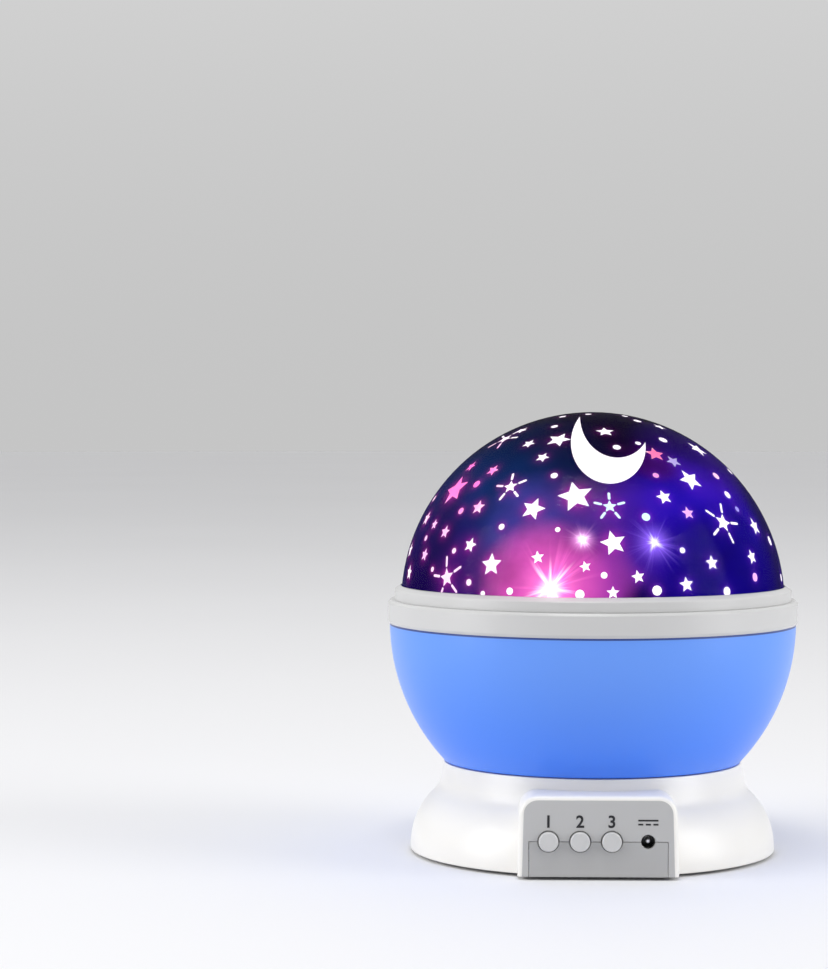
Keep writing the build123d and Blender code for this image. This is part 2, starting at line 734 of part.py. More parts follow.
def make_gear_motor():
    low = deck_under_z - motor_height
    can = disc(motor_radius, low, deck_under_z, motor_reach, 0)
    can = fillet(can.faces().sort_by(Axis.Z)[0].edges(), motor_flange)
    can += disc(motor_boss_radius, deck_under_z, deck_under_z + motor_boss_height, motor_reach, 0)
    flange_z = deck_under_z - motor_flange
    for y in (-motor_ear_reach, motor_ear_reach):
        can += disc(motor_ear_radius, flange_z, deck_under_z, motor_reach, y)
        y0 = min(y, 0)
        can += block(motor_reach - motor_ear_radius, motor_reach + motor_ear_radius, y0, y0 + abs(y),
                     flange_z, deck_under_z)
        can -= disc(screw_radius + fit_gap, flange_z - over, deck_under_z + over, motor_reach, y)
    bore = motor_shaft_radius + pin_gap
    return can - disc(bore, deck_under_z - gear_width - part_gap, deck_z, motor_reach, 0)


def make_motor_screws():
    head_z = deck_under_z - motor_flange
    length = motor_flange + deck_thickness - screw_end_gap * 2
    places = [(motor_reach, -motor_ear_reach), (motor_reach, motor_ear_reach)]
    return Compound([screw_up(x, y, head_z, length).solid() for x, y in places])


def make_idler_axle():
    return disc(axle_radius, deck_under_z - axle_boss_depth, axle_top_z, idler_x, idler_y)


# ---------------------------------------------------------------- lamp column
def make_lamp_column():
    column = disc(column_flange_radius, deck_z, deck_z + column_flange)
    column += disc(column_collar_radius, deck_z, column_shoulder_z)
    column += disc(journal_radius, deck_z, holder_z)
    column -= disc(column_bore, deck_z - over, holder_z + over)
    groove_top = clip_z + clip_thickness + seat_gap
    column -= tube(journal_radius + over, journal_radius - clip_groove, clip_z, groove_top)
    for angle in column_screw_angles:
        x, y = around(column_screw_reach, angle)
        column -= disc(screw_radius + fit_gap, deck_z - over, deck_z + column_flange + over, x, y)
        column -= disc(screw_head_radius + seam_gap, deck_z + column_flange, column_shoulder_z + over, x, y)
    return column


def make_column_screws():
    head_z = deck_z + column_flange
    places = [around(column_screw_reach, angle) for angle in column_screw_angles]
    return Compound([screw_down(x, y, head_z, column_flange + deck_thickness).solid() for x, y in places])


def make_thrust_washer():
    inner = journal_radius + fit_gap
    return tube(inner + washer_width, inner, column_shoulder_z, column_shoulder_z + washer_thickness)


def make_retaining_clip():
    inner = journal_radius - clip_groove + fit_gap
    ring = tube(inner + clip_width, inner, clip_z, clip_z + clip_thickness)
    top = clip_z + clip_thickness
    far = inner + clip_width + over
    return ring - block(0, far, -clip_mouth / 2, clip_mouth / 2, clip_z - over, top + over)


def make_lamp_holder():
    holder = disc(holder_radius, holder_z, lamp_board_z)
    holder += disc(column_bore - fit_gap, holder_z - holder_spigot, holder_z)
    return holder - disc(lead_radius + part_gap, holder_z - holder_spigot - over, lamp_board_z + over)


def make_lamp_board():
    return disc(lamp_board_radius, lamp_board_z, lamp_board_z + board_thickness)


def make_lamp(angle):
    """Round lamp body with a domed end and a flange, standing on the lamp board."""
    x, y = around(lamp_circle, angle)
    foot = lamp_board_z + board_thickness
    body = disc(lamp_radius, foot, foot + lamp_height - lamp_radius, x, y)
    dome = Pos(x, y, foot + lamp_height - lamp_radius) * Sphere(lamp_radius)
    return body + dome + disc(lamp_radius + lamp_flange, foot, foot + lamp_flange_height, x, y)


def make_lamp_cap():
    """Clear round cap over the lamps."""
    inner = holder_radius - lamp_cap_wall
    shell = Sphere(holder_radius) - Sphere(inner)
    far = holder_radius * 2
    shell = Pos(0, 0, cap_round_z) * (shell & block(-far, far, -far, far, 0, far))
    return shell + tube(holder_radius, inner, lamp_board_z, cap_round_z)


# ---------------------------------------------------------------- bowl and collar
def turntable_screw_places():
    turn = 360 / turntable_screw_count
    angles = [turntable_screw_turn + turn * i for i in range(turntable_screw_count)]
    return [around(turntable_screw_reach, angle) for angle in angles]


def reflector_screw_places():
    reach = collar_inner_radius - ledge_width / 2
    return [around(reach, 90 + 360 / reflector_screw_count * i) for i in range(reflector_screw_count)]


def make_bowl():
    """Round bowl with a flat floor that is screwed to the turntable."""
    inner_radius = bowl_radius - bowl_wall
    top = asin((collar_z - bowl_centre_z) / bowl_radius)
    inner_top = asin((collar_z - bowl_centre_z) / inner_radius)
    low = asin((bowl_z - bowl_centre_z) / bowl_radius)
    inner_low = asin((bowl_z + bowl_floor - bowl_centre_z) / inner_radius)
    outer = sphere_arc(bowl_radius, bowl_centre_z, low, top)
    inner = sphere_arc(inner_radius, bowl_centre_z, inner_low, inner_top)
    hole = bowl_floor_hole
    floor_line = Polyline(inner @ 0, (hole, bowl_z + bowl_floor), (hole, bowl_z), outer @ 0)
    bowl = revolve(Plane.XZ * make_face(outer + Line(outer @ 1, inner @ 1) + inner + floor_line), Axis.Z)
    for x, y in turntable_screw_places():
        bowl -= disc(screw_radius + fit_gap, bowl_z - over, bowl_z + bowl_floor + over, x, y)
    return bowl


def make_turntable_screws():
    head_z = bowl_z + bowl_floor
    length = bowl_floor + turntable_web
    return Compound([screw_down(x, y, head_z, length).solid() for x, y in turntable_screw_places()])


def make_collar():
    """White ring on the bowl's rim, with an open groove and a ledge for the reflector."""
    tongue_radius = bowl_radius - bowl_wall - part_gap
    tongue_inner = tongue_radius - collar_tongue_wall
    wall_inner = collar_radius - collar_wall
    sleeve = collar_inner_radius + collar_sleeve
    groove_z = collar_top_z - collar_groove_depth
    ledge_inner = collar_inner_radius - ledge_width
    ledge_z = reflector_z - ledge_thickness
    collar = turned_polygon(
        (collar_radius - collar_foot_width, collar_z),
        (collar_radius, collar_z + collar_foot_height),
        (collar_radius, collar_top_z - collar_bevel),
        (collar_radius - collar_bevel, collar_top_z),
        (wall_inner, collar_top_z),
        (wall_inner, groove_z),
        (sleeve, groove_z),
        (sleeve, collar_top_z),
        (collar_inner_radius, collar_top_z),
        (collar_inner_radius, reflector_z),
        (ledge_inner, reflector_z),
        (ledge_inner, ledge_z),
        (tongue_inner, ledge_z),
        (tongue_inner, collar_z - collar_tongue),
        (tongue_radius, collar_z - collar_tongue),
        (tongue_radius, collar_z),
    )
    for x, y in reflector_screw_places():
        collar -= disc(screw_radius + fit_gap, ledge_z - over, reflector_z + over, x, y)
    return collar


def make_reflector():
    plate = tube(collar_inner_radius - fit_gap, reflector_hole, reflector_z, reflector_top_z)
    for x, y in reflector_screw_places():
        plate -= disc(screw_radius + fit_gap, reflector_z - over, reflector_top_z + over, x, y)
        plate -= disc(screw_head_radius + part_gap, reflector_z + screw_sink, reflector_top_z + over, x, y)
    return plate


def make_reflector_screws():
    head_z = reflector_z + screw_sink
    length = screw_sink + ledge_thickness
    places = reflector_screw_places()
    heads = reflector_top_z - head_z
    screws = [disc(screw_head_radius, head_z, head_z + heads, x, y)
              + disc(screw_radius, head_z - length, head_z, x, y) for x, y in places]
    return Compound([screw.solid() for screw in screws])


# ---------------------------------------------------------------- dome
def make_dome_ring():
    """White ring that holds the clear dome and centres it in the collar."""
    floor_inner = spigot_radius - spigot_wall
    top_inner = collar_top_z + ring_height + ring_lip
    top_outer = top_inner - ring_bevel_drop
    return turned_polygon(
        (ring_radius, collar_top_z),
        (ring_radius, top_outer - (ring_wall - ring_bevel_width)),
        (ring_radius - (ring_wall - ring_bevel_width), top_outer),
        (ring_seat_radius, top_inner),
        (ring_seat_radius, collar_top_z + ring_floor),
        (floor_inner, collar_top_z + ring_floor),
        (floor_inner, collar_top_z - spigot_depth),
        (spigot_radius, collar_top_z - spigot_depth),
        (spigot_radius, collar_top_z),
    )


def make_clear_dome():
    return sphere_shell(dome_radius, dome_wall, dome_centre_z, collar_top_z + ring_floor)


# Star pattern of one half of the dome: azimuth from the front and elevation in degrees, outer radius
# in pattern units and turn in degrees. The other half repeats it half a turn round.
stars = [
    (-8, 36.5, 5.5, 15), (-22.5, 32, 3.9, -13), (-45, 32, 2.5, 5), (-48.5, 45.5, 2.3, -10),
    (-26, 51.5, 2.2, -15), (-40, 58, 2.2, -10), (-22.5, 60.5, 3.9, -12), (-64, 65.5, 2.2, 0),
    (-64.5, 37.5, 5.5, 20), (-67.5, 46.5, 2.2, 0), (-76, 27, 2.5, 0), (-66, 25.5, 1.8, 10),
    (-57, 23.5, 2.2, 0), (-82.5, 16.5, 2.5, 10), (-76, 10, 2.5, 0), (-65.5, 16, 2.1, -5),
    (-43, 20, 2.4, -10), (-33.5, 14.5, 3.6, 5), (-18.5, 17, 2.1, 10), (-4, 14.5, 1.8, 15),
    (7, 65.5, 2.9, 0), (30, 53, 3.2, -10), (37.5, 49.5, 2.6, 15), (40, 42, 4.1, 15),
    (24.5, 36, 2.6, 10), (4.5, 21.5, 4.0, 13), (32, 30.5, 2.2, 0), (36.5, 15, 2.4, 0),
    (11.5, 11.5, 2.1, 10), (4, 7, 2.0, 0), (26.5, 9, 2.4, 5), (55.5, 16, 2.4, 10),
    (64.5, 25, 3.0, 5), (67, 54.5, 3.7, 10), (66, 68, 2.2, 0),
]
dots = [
    (-53, 30.5, 1.1), (-52.5, 40, 1.3), (-17.5, 44, 1.1), (-35, 69, 1.1), (-53, 78.5, 1.1),
    (-12, 83, 1.0), (-68.5, 21, 0.9), (-58.5, 12, 0.8), (-49.5, 18, 0.9), (-32.5, 26, 1.0),
    (-41, 9, 1.0), (-35.5, 6, 0.8), (-26.5, 7, 1.1), (-13, 25.5, 0.8), (-5.5, 6.5, 1.4),
    (1.5, 12, 1.0), (11, 56.5, 1.2), (24.5, 58.5, 0.9), (44.5, 60, 1.4), (24.5, 44, 1.0),
    (16, 29.5, 1.3), (26.5, 19, 0.9), (17, 7.5, 1.5), (41, 6.5, 1.4), (55, 10, 1.3),
    (74.5, 20, 1.5), (56.5, 36, 1.3), (53, 73.5, 1.3), (58, 43, 1.3), (57.5, 31, 0.9),
    (60, 79, 1.0), (-82.5, 33.5, 1.1), (78.5, 8.5, 1.2), (80, 44, 1.2),
]
# Sparkle stars: a small star with five loose rays; azimuth, elevation, star radius, turn
sparkles = [
    (-34.5, 39.5, 2.4, 14), (4, 33, 2.2, 0), (46, 27, 3.1, -22), (-50.5, 10, 3.0, 15), (-67, 60, 2.7, 0),
]


def facing(azimuth, elevation, radius):
    """Plane that touches a sphere about the dome's centre, its own X running east."""
    a = radians(azimuth)
    e = radians(elevation)
    out = Vector(sin(a) * cos(e), -cos(a) * cos(e), sin(e))
    return Plane(origin=out * radius + Vector(0, 0, dome_centre_z), x_dir=(cos(a), sin(a), 0), z_dir=out)


def star_outline(radius, turn):
    """Five-pointed star with one point up."""
    points = []
    for corner in range(10):
        reach = radius if corner % 2 == 0 else radius * star_waist
        angle = radians(90 + turn + 36 * corner)
        points.append((reach * cos(angle), reach * sin(angle)))
    return make_face(Polyline(*points, close=True))


def window_cutters():
    """Cutting solids for the windows of one half of the film."""
    depth = film_thickness * 4
    start = film_radius - film_thickness / 2 - depth / 2
    cutters = []
    for azimuth, elevation, radius, turn in stars + sparkles:
        plane = facing(azimuth, elevation, start)
        cutters.append(extrude(plane * star_outline(radius * pattern_unit, turn), depth))
    for azimuth, elevation, radius in dots:
        plane = facing(azimuth, elevation, start)
        cutters.append(plane * Pos(0, 0, depth / 2) * Cylinder(radius * pattern_unit, depth))
    for azimuth, elevation, radius, turn in sparkles:
        plane = facing(azimuth, elevation, start)
        for ray in range(5):
            middle = radius * pattern_unit * (ray_start + ray_end) / 2
            bar = Box(radius * pattern_unit * (ray_end - ray_start), ray_width, depth)
            cutters.append(plane * Rot(0, 0, 90 + turn + 72 * ray) * Pos(middle, 0, depth / 2) * bar)
    return cutters + [moon_cutter()]


def moon_cutter():
    """Crescent that looks round from the front, cut straight back."""
    size = film_radius / dome_radius
    outer = Pos(moon_x * size, moon_z * size) * Circle(moon_radius * size)
    inner = Pos(moon_hollow_x * size, moon_hollow_z * size) * Circle(moon_hollow_radius * size)
    face = Plane(origin=(0, 0, dome_centre_z), x_dir=(1, 0, 0), z_dir=(0, -1, 0)) * (outer - inner)
    return extrude(face, dome_radius)


def make_star_film():
    """Dark film under the clear dome, with clear windows."""
    film = sphere_shell(film_radius, film_thickness, dome_centre_z, collar_top_z + ring_floor)
    front = window_cutters()
    back = [Rot(0, 0, 180) * cutter for cutter in front]
    return film - (front + back)


# ---------------------------------------------------------------- leads
def make_lamp_lead():
    """From the lamp board down the column, over the battery bay and into the control board."""
    run_z = (bay_top_z + deck_under_z) / 2
    end_z = run_z - lead_drop
    points = [
        (0, 0, lamp_board_z),
        (0, 0, run_z),
        (0, bay_front - lead_clear, run_z),
        (0, bay_front - lamp_lead_run, end_z),
        (0, board_back_y, end_z),
    ]
    return lead(points, [lead_bend, lamp_lead_bend, lamp_lead_bend])


def make_motor_lead():
    """From the motor's side to the control board behind the inlet."""
    run_z = deck_under_z - motor_height + lead_drop
    turn_y = -motor_radius - motor_lead_run
    points = [
        (motor_reach, -motor_radius - fit_gap, run_z),
        (motor_reach, turn_y, run_z),
        (inlet_x, board_back_y + lead_clear * 2, run_z),
        (inlet_x, board_back_y, run_z),
    ]
    return lead(points, [lead_bend, lead_bend])


def make_battery_lead():
    """From the bay's front wall to the control board."""
    start_y = bay_front - bay_wall
    end_x = bay_x - battery_lead_shift
    points = [
        (bay_x, start_y, cell_z),
        (bay_x, start_y - lead_clear, cell_z),
        (end_x, board_back_y + lead_clear, cell_z),
        (end_x, board_back_y, cell_z),
    ]
    return lead(points, [lead_bend, lead_bend])


# ---------------------------------------------------------------- all pieces
lamp_colours = ("white", "red", "green", "blue")


def main():
    os.makedirs("parts", exist_ok=True)
    pieces = {
        "base_shell": make_base_shell(),
        "bottom_cover": make_bottom_cover(),
        "battery_door": make_battery_door(),
        "cover_screws": make_cover_screws(),
        "battery_contacts": make_battery_contacts(),
        "control_board": make_control_board(),
        "board_screws": make_board_screws(),
        "controller_chip": make_controller_chip(),
        "dc_inlet": make_inlet(),
        "gear_motor": make_gear_motor(),
        "motor_screws": make_motor_screws(),
        "motor_shaft": make_motor_shaft(),
        "drive_pinion": make_drive_pinion(),
        "idler_axle": make_idler_axle(),
        "idler_gear": make_idler(),
        "turntable": make_turntable(),
        "turntable_screws": make_turntable_screws(),
        "lamp_column": make_lamp_column(),
        "column_screws": make_column_screws(),
        "thrust_washer": make_thrust_washer(),
        "retaining_clip": make_retaining_clip(),
        "lamp_holder": make_lamp_holder(),
        "lamp_board": make_lamp_board(),
        "lamp_cap": make_lamp_cap(),
        "bowl": make_bowl(),
        "collar_ring": make_collar(),
        "reflector_plate": make_reflector(),
        "reflector_screws": make_reflector_screws(),
        "dome_ring": make_dome_ring(),
        "clear_dome": make_clear_dome(),
        "star_film": make_star_film(),
        "lamp_lead": make_lamp_lead(),
        "motor_lead": make_motor_lead(),
        "battery_lead": make_battery_lead(),
    }
    for number, x in enumerate(button_places, 1):
        pieces[f"button_cap_{number}"] = make_button_cap(x)
        pieces[f"switch_plunger_{number}"] = make_switch_plunger(x)
        pieces[f"tact_switch_{number}"] = make_tact_switch(x)
    for number, (x, way) in enumerate(cell_places(), 1):
        pieces[f"battery_cell_{number}"] = make_cell(x, way)
    for number, (x, y) in enumerate(foot_places, 1):
        pieces[f"rubber_foot_{number}"] = make_rubber_foot(x, y)
    for number, colour in enumerate(lamp_colours):
        pieces[f"lamp_{colour}"] = make_lamp(lamp_turn + 360 / len(lamp_colours) * number)
    for name, shape in pieces.items():
        save(shape, name)


main()
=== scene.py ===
import math

import bmesh
import bpy
import numpy as np
from mathutils import Matrix, Vector
from mathutils.geometry import delaunay_2d_cdt


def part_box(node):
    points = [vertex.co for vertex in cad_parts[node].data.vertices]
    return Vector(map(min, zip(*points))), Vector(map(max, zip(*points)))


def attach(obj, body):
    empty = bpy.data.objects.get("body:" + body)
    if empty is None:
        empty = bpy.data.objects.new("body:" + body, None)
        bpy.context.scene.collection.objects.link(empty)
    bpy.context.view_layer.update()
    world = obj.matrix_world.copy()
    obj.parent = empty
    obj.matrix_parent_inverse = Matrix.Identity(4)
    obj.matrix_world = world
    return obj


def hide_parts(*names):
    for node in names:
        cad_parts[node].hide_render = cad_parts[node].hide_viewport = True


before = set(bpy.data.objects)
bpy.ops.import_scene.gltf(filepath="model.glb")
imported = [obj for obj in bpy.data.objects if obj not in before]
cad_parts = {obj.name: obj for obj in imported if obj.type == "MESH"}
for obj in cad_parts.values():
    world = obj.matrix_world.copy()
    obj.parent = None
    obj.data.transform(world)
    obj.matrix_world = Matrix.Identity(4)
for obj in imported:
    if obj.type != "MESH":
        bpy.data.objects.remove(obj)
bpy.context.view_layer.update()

# Star night light projector: looks. Metres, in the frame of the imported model.
MM = 0.001

# ---------------------------------------------------------------- places read from the frame
dome_low, dome_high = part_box("clear_dome")
bowl_low, bowl_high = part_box("bowl")
cover_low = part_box("bottom_cover")[0]

dome_radius = 60.8 * MM
dome_wall = 1.6 * MM
film_bond = 0.05 * MM       # the film reaches this far into the dome's wall, so no air shows between them
film_thickness = 0.2 * MM
dome_centre = Vector((0, 0, dome_high[2] - dome_radius))
film_radius = dome_radius - dome_wall + film_bond
panel_y = cover_low[1]      # the tongue of the cover lies in the panel's face

# fine surface relief and softened edges of moulded pieces
grain_height = 0.05 * MM
flow_height = 0.1 * MM
shell_edge = 0.5 * MM
cover_edge = 0.4 * MM
button_edge = 0.6 * MM


# ---------------------------------------------------------------- node helpers
def node(tree, kind, inputs=None, **settings):
    """Add a node; inputs are values or sockets by name or number."""
    item = tree.nodes.new(kind)
    for key, value in settings.items():
        setattr(item, key, value)
    for key, value in (inputs or {}).items():
        if isinstance(value, bpy.types.NodeSocket):
            tree.links.new(value, item.inputs[key])
        else:
            item.inputs[key].default_value = value
    return item


def calc(tree, operation, *values):
    """Math node; returns its output socket."""
    inputs = dict(enumerate(values))
    return node(tree, "ShaderNodeMath", inputs, operation=operation).outputs[0]


def vector_calc(tree, operation, *values, result=0):
    """Vector math node; returns one of its output sockets."""
    inputs = dict(enumerate(values))
    return node(tree, "ShaderNodeVectorMath", inputs, operation=operation).outputs[result]


def span(tree, value, low, high, out_low=0.0, out_high=1.0):
    """Smooth step of a value between two limits."""
    inputs = {"Value": value, "From Min": low, "From Max": high, "To Min": out_low, "To Max": out_high}
    return node(tree, "ShaderNodeMapRange", inputs, interpolation_type="SMOOTHSTEP").outputs[0]


def blend_colour(tree, factor, first, second):
    """Mix of two colours."""
    item = node(tree, "ShaderNodeMix", data_type="RGBA")
    for key, value in ((0, factor), (6, first), (7, second)):
        if isinstance(value, bpy.types.NodeSocket):
            tree.links.new(value, item.inputs[key])
        else:
            item.inputs[key].default_value = value
    return item.outputs[2]


def rgb(red, green, blue):
    """Linear colour from the 0 to 255 values that a picture shows."""
    def linear(value):
        value /= 255
        return value / 12.92 if value <= 0.04045 else ((value + 0.055) / 1.055) ** 2.4
    return (linear(red), linear(green), linear(blue), 1.0)


def new_material(name):
    """Material with an empty node tree; returns the material, its tree and its surface socket."""
    material = bpy.data.materials.new(name)
    material.use_nodes = True
    tree = material.node_tree
    tree.nodes.clear()
    output = tree.nodes.new("ShaderNodeOutputMaterial")
    return material, tree, output.inputs["Surface"]


def object_place(tree):
    """Position on the object, in metres; the CAD nodes and the film share the frame's origin."""
    return node(tree, "ShaderNodeTexCoord").outputs["Object"]


def noise(tree, place, scale, detail=3.0, roughness=0.5):
    """Noise value at a place."""
    inputs = {"Vector": place, "Scale": scale, "Detail": detail, "Roughness": roughness}
    return node(tree, "ShaderNodeTexNoise", inputs).outputs["Fac"]


def bump(tree, height, strength, distance, edge=None):
    """Normal from a height, on top of softened edges where a radius is given."""
    inputs = {"Height": height, "Strength": strength, "Distance": distance}
    if edge:
        inputs["Normal"] = soft_edges(tree, edge)
    return node(tree, "ShaderNodeBump", inputs).outputs["Normal"]


def soft_edges(tree, radius):
    """Normal that rounds the edges of a moulded piece."""
    return node(tree, "ShaderNodeBevel", {"Radius": radius}, samples=6).outputs["Normal"]


def plastic(name, colour, rough=0.3, tint=0.96, grain=2600.0, grain_depth=0.02, coat=0.0, spread=0.04,
            sheen_scale=25.0, edge=None):
    """Moulded plastic: faint tone changes, uneven gloss and a fine surface grain."""
    material, tree, surface = new_material(name)
    place = object_place(tree)
    cloud = noise(tree, place, sheen_scale)
    dull = tuple(channel * tint for channel in colour[:3]) + (1.0,)
    tone = blend_colour(tree, cloud, colour, dull)
    smear = noise(tree, place, sheen_scale * 2.5)
    gloss = span(tree, smear, 0.1, 0.9, out_low=rough - spread / 2, out_high=rough + spread / 2)
    fine = bump(tree, noise(tree, place, grain, detail=2.0), grain_depth, grain_height, edge)
    inputs = {"Base Color": tone, "Roughness": gloss, "Normal": fine}
    if coat:
        inputs["Coat Weight"] = coat
        inputs["Coat Roughness"] = 0.06
    shader = node(tree, "ShaderNodeBsdfPrincipled", inputs)
    tree.links.new(shader.outputs[0], surface)
    return material


# ---------------------------------------------------------------- star pattern
# One half of the film; the other half repeats it half a turn round.
# Stars: azimuth from the front and elevation in degrees, outer radius in millimetres, turn in degrees
stars = [
    (-8, 36.5, 5.5, 15), (-22.5, 32, 3.9, -13), (-45, 32, 2.5, 5), (-48.5, 45.5, 2.3, -10),
    (-26, 51.5, 2.2, -15), (-40, 58, 2.2, -10), (-22.5, 60.5, 3.9, -12), (-64, 65.5, 2.2, 0),
    (-64.5, 37.5, 5.5, 20), (-67.5, 46.5, 2.2, 0), (-76, 27, 2.5, 0), (-66, 25.5, 1.8, 10),
    (-57, 23.5, 2.2, 0), (-82.5, 16.5, 2.5, 10), (-76, 10, 2.5, 0), (-65.5, 16, 2.1, -5),
    (-43, 20, 2.4, -10), (-33.5, 14.5, 3.6, 5), (-18.5, 17, 2.1, 10), (-4, 14.5, 1.8, 15),
    (7, 65.5, 2.9, 0), (30, 53, 3.2, -10), (37.5, 49.5, 2.6, 15), (40, 42, 4.1, 15),
    (24.5, 36, 2.6, 10), (4.5, 21.5, 4.0, 13), (32, 30.5, 2.2, 0), (36.5, 15, 2.4, 0),
    (11.5, 11.5, 2.1, 10), (4, 7, 2.0, 0), (26.5, 9, 2.4, 5), (55.5, 16, 2.4, 10),
    (64.5, 25, 3.0, 5), (67, 54.5, 3.7, 10), (66, 68, 2.2, 0),
]
# Dots: azimuth, elevation, radius
dots = [
    (-53, 30.5, 1.1), (-52.5, 40, 1.3), (-17.5, 44, 1.1), (-35, 69, 1.1), (-53, 78.5, 1.1),
    (-12, 83, 1.0), (-68.5, 21, 0.9), (-58.5, 12, 0.8), (-49.5, 18, 0.9), (-32.5, 26, 1.0),
    (-41, 9, 1.0), (-35.5, 6, 0.8), (-26.5, 7, 1.1), (-13, 25.5, 0.8), (-5.5, 6.5, 1.4),
    (1.5, 12, 1.0), (11, 56.5, 1.2), (24.5, 58.5, 0.9), (44.5, 60, 1.4), (24.5, 44, 1.0),
    (16, 29.5, 1.3), (26.5, 19, 0.9), (17, 7.5, 1.5), (41, 6.5, 1.4), (55, 10, 1.3),
    (74.5, 20, 1.5), (56.5, 36, 1.3), (53, 73.5, 1.3), (58, 43, 1.3), (57.5, 31, 0.9),
    (60, 79, 1.0), (-82.5, 33.5, 1.1), (78.5, 8.5, 1.2), (80, 44, 1.2),
]
# Sparkle stars: a small star with five loose rays; azimuth, elevation, star radius, turn
sparkles = [
    (-34.5, 39.5, 2.4, 14), (4, 33, 2.2, 0), (46, 27, 3.1, -22), (-50.5, 10, 3.0, 15), (-67, 60, 2.7, 0),
]
star_tips = 5
star_waist = 0.47           # inner radius of a star as a share of its outer radius
ray_start = 1.17            # ends of a sparkle's rays as shares of its star's radius
ray_end = 2.3
ray_width = 0.8             # millimetres
# Crescent seen from the front, millimetres from the dome's centre: x, z and radius of its two circles
moon = (3.9, 51.5, 11.6)
moon_hollow = (6.6, 58.6, 11.0)
# Radius of the evenly bright middle of each kind of window, as a share of the window's own size
star_bright = 0.6
dot_bright = 0.8
ray_bright = 0.5
# Print mesh: spacing of its points, and how near two points of its map may lie before they are one
print_step = 1.3 * MM
map_tolerance = 1e-7
# Light that spills into the ink, in millimetres round a window
halo_reach = 0.5
moon_halo = 0.35            # the crescent's share, because its outline carries many places of light
halo_limit = 1.5


def direction(azimuth, elevation):
    """Unit vector from the dome's centre, with azimuth 0 at the front."""
    a = math.radians(azimuth)
    e = math.radians(elevation)
    return Vector((math.sin(a) * math.cos(e), -math.cos(a) * math.cos(e), math.sin(e)))


def film_axes(azimuth, elevation):
    """Outward, east and north unit vectors at a place on the film."""
    out = direction(azimuth, elevation)
    east = Vector((math.cos(math.radians(azimuth)), math.sin(math.radians(azimuth)), 0))
    return out, east, out.cross(east)


def on_film(azimuth, elevation, points):
    """Directions of points given in millimetres east and north of a place on the film."""
    out, east, north = film_axes(azimuth, elevation)
    reach = film_radius / MM
    return [(out * reach + east * u + north * v).normalized() for u, v in points]


def star_points(radius, turn):
    """Corners of a five-pointed star."""
    corners = []
    for corner in range(2 * star_tips):
        reach = radius if corner % 2 == 0 else radius * star_waist
        angle = math.radians(90 + turn + 180 / star_tips * corner)
        corners.append((reach * math.cos(angle), reach * math.sin(angle)))
    return corners


def circle_points(radius, count=20):
    """Points round a dot."""
    turn = 2 * math.pi / count
    return [(radius * math.cos(turn * i), radius * math.sin(turn * i)) for i in range(count)]


def ray_points(radius, turn):
    """Rounded bars round a sparkle star, one list of points each."""
    half = ray_width / 2
    low = radius * ray_start
    high = radius * ray_end
    bar = [(low, -half), (high - half, -half), (high, 0), (high - half, half), (low, half)]
    bar.append((low - half / 2, 0))
    rays = []
    for ray in range(star_tips):
        angle = math.radians(90 + turn + 360 / star_tips * ray)
        c, s = math.cos(angle), math.sin(angle)
        rays.append([(u * c - v * s, u * s + v * c) for u, v in bar])
    return rays


def moon_points():
    """Directions round the crescent, which looks round from the front."""
    size = film_radius / dome_radius
    x0, z0, r0 = (value * size for value in moon)
    x1, z1, r1 = (value * size for value in moon_hollow)
    gap = math.hypot(x1 - x0, z1 - z0)
    along = math.atan2(z1 - z0, x1 - x0)
    half_outer = math.acos((gap**2 + r0**2 - r1**2) / (2 * gap * r0))
    half_inner = math.acos((gap**2 + r1**2 - r0**2) / (2 * gap * r1))
    steps = 44
    outline = []
    for i in range(steps + 1):
        angle = along + half_outer + (2 * math.pi - 2 * half_outer) * i / steps
        outline.append((x0 + r0 * math.cos(angle), z0 + r0 * math.sin(angle)))
    for i in range(1, steps):
        angle = along + math.pi + half_inner - 2 * half_inner * i / steps
        outline.append((x1 + r1 * math.cos(angle), z1 + r1 * math.sin(angle)))
    reach = film_radius / MM
    depths = [-math.sqrt(max(reach**2 - x * x - z * z, 0)) for x, z in outline]
    return [Vector((x, y, z)).normalized() for (x, z), y in zip(outline, depths)]


def half_pattern():
    """Windows of one half: a list of (outline directions, middle, radius of the bright middle)."""
    windows = []
    for azimuth, elevation, radius, turn in stars + sparkles:
        outline = on_film(azimuth, elevation, star_points(radius, turn))
        windows.append((outline, direction(azimuth, elevation), radius * star_bright))
    for azimuth, elevation, radius in dots:
        outline = on_film(azimuth, elevation, circle_points(radius))
        windows.append((outline, direction(azimuth, elevation), radius * dot_bright))
    for azimuth, elevation, radius, turn in sparkles:
        for bar in ray_points(radius, turn):
            outline = on_film(azimuth, elevation, bar)
            middle = sum(outline, Vector()) / len(outline)
            windows.append((outline, middle.normalized(), ray_width * ray_bright))
    windows.append((moon_points(), None, 0))
    return windows


def whole_pattern():
    """Windows of the front half and of the back half, half a turn round."""
    front = half_pattern()
    turn = Matrix.Rotation(math.pi, 3, "Z")
    back = [([turn @ p for p in outline], centre and turn @ centre, size)
            for outline, centre, size in front]
    return front + back


def flat(point):
    """Stereographic map of the upper half sphere, its pole at the middle."""
    return Vector((point.x / (1 + point.z), point.y / (1 + point.z)))


def unflat(place):
    """Direction for a point of the map."""
    square = place[0] ** 2 + place[1] ** 2
    return Vector((2 * place[0], 2 * place[1], 1 - square)) / (1 + square)


def film_grid(low_elevation):
    """Map points spread evenly over the film, the rim last."""
    step = print_step / film_radius
    top = math.pi / 2 - low_elevation
    rings = round(top / step)
    points = [Vector((0, 0))]
    for ring in range(1, rings + 1):
        tilt = top * ring / rings
        count = max(6, round(2 * math.pi * math.sin(tilt) / step))
        reach = math.tan(tilt / 2)
        for i in range(count):
            angle = 2 * math.pi * (i + 0.5 * (ring % 2)) / count
            points.append(Vector((reach * math.cos(angle), reach * math.sin(angle))))
    return points


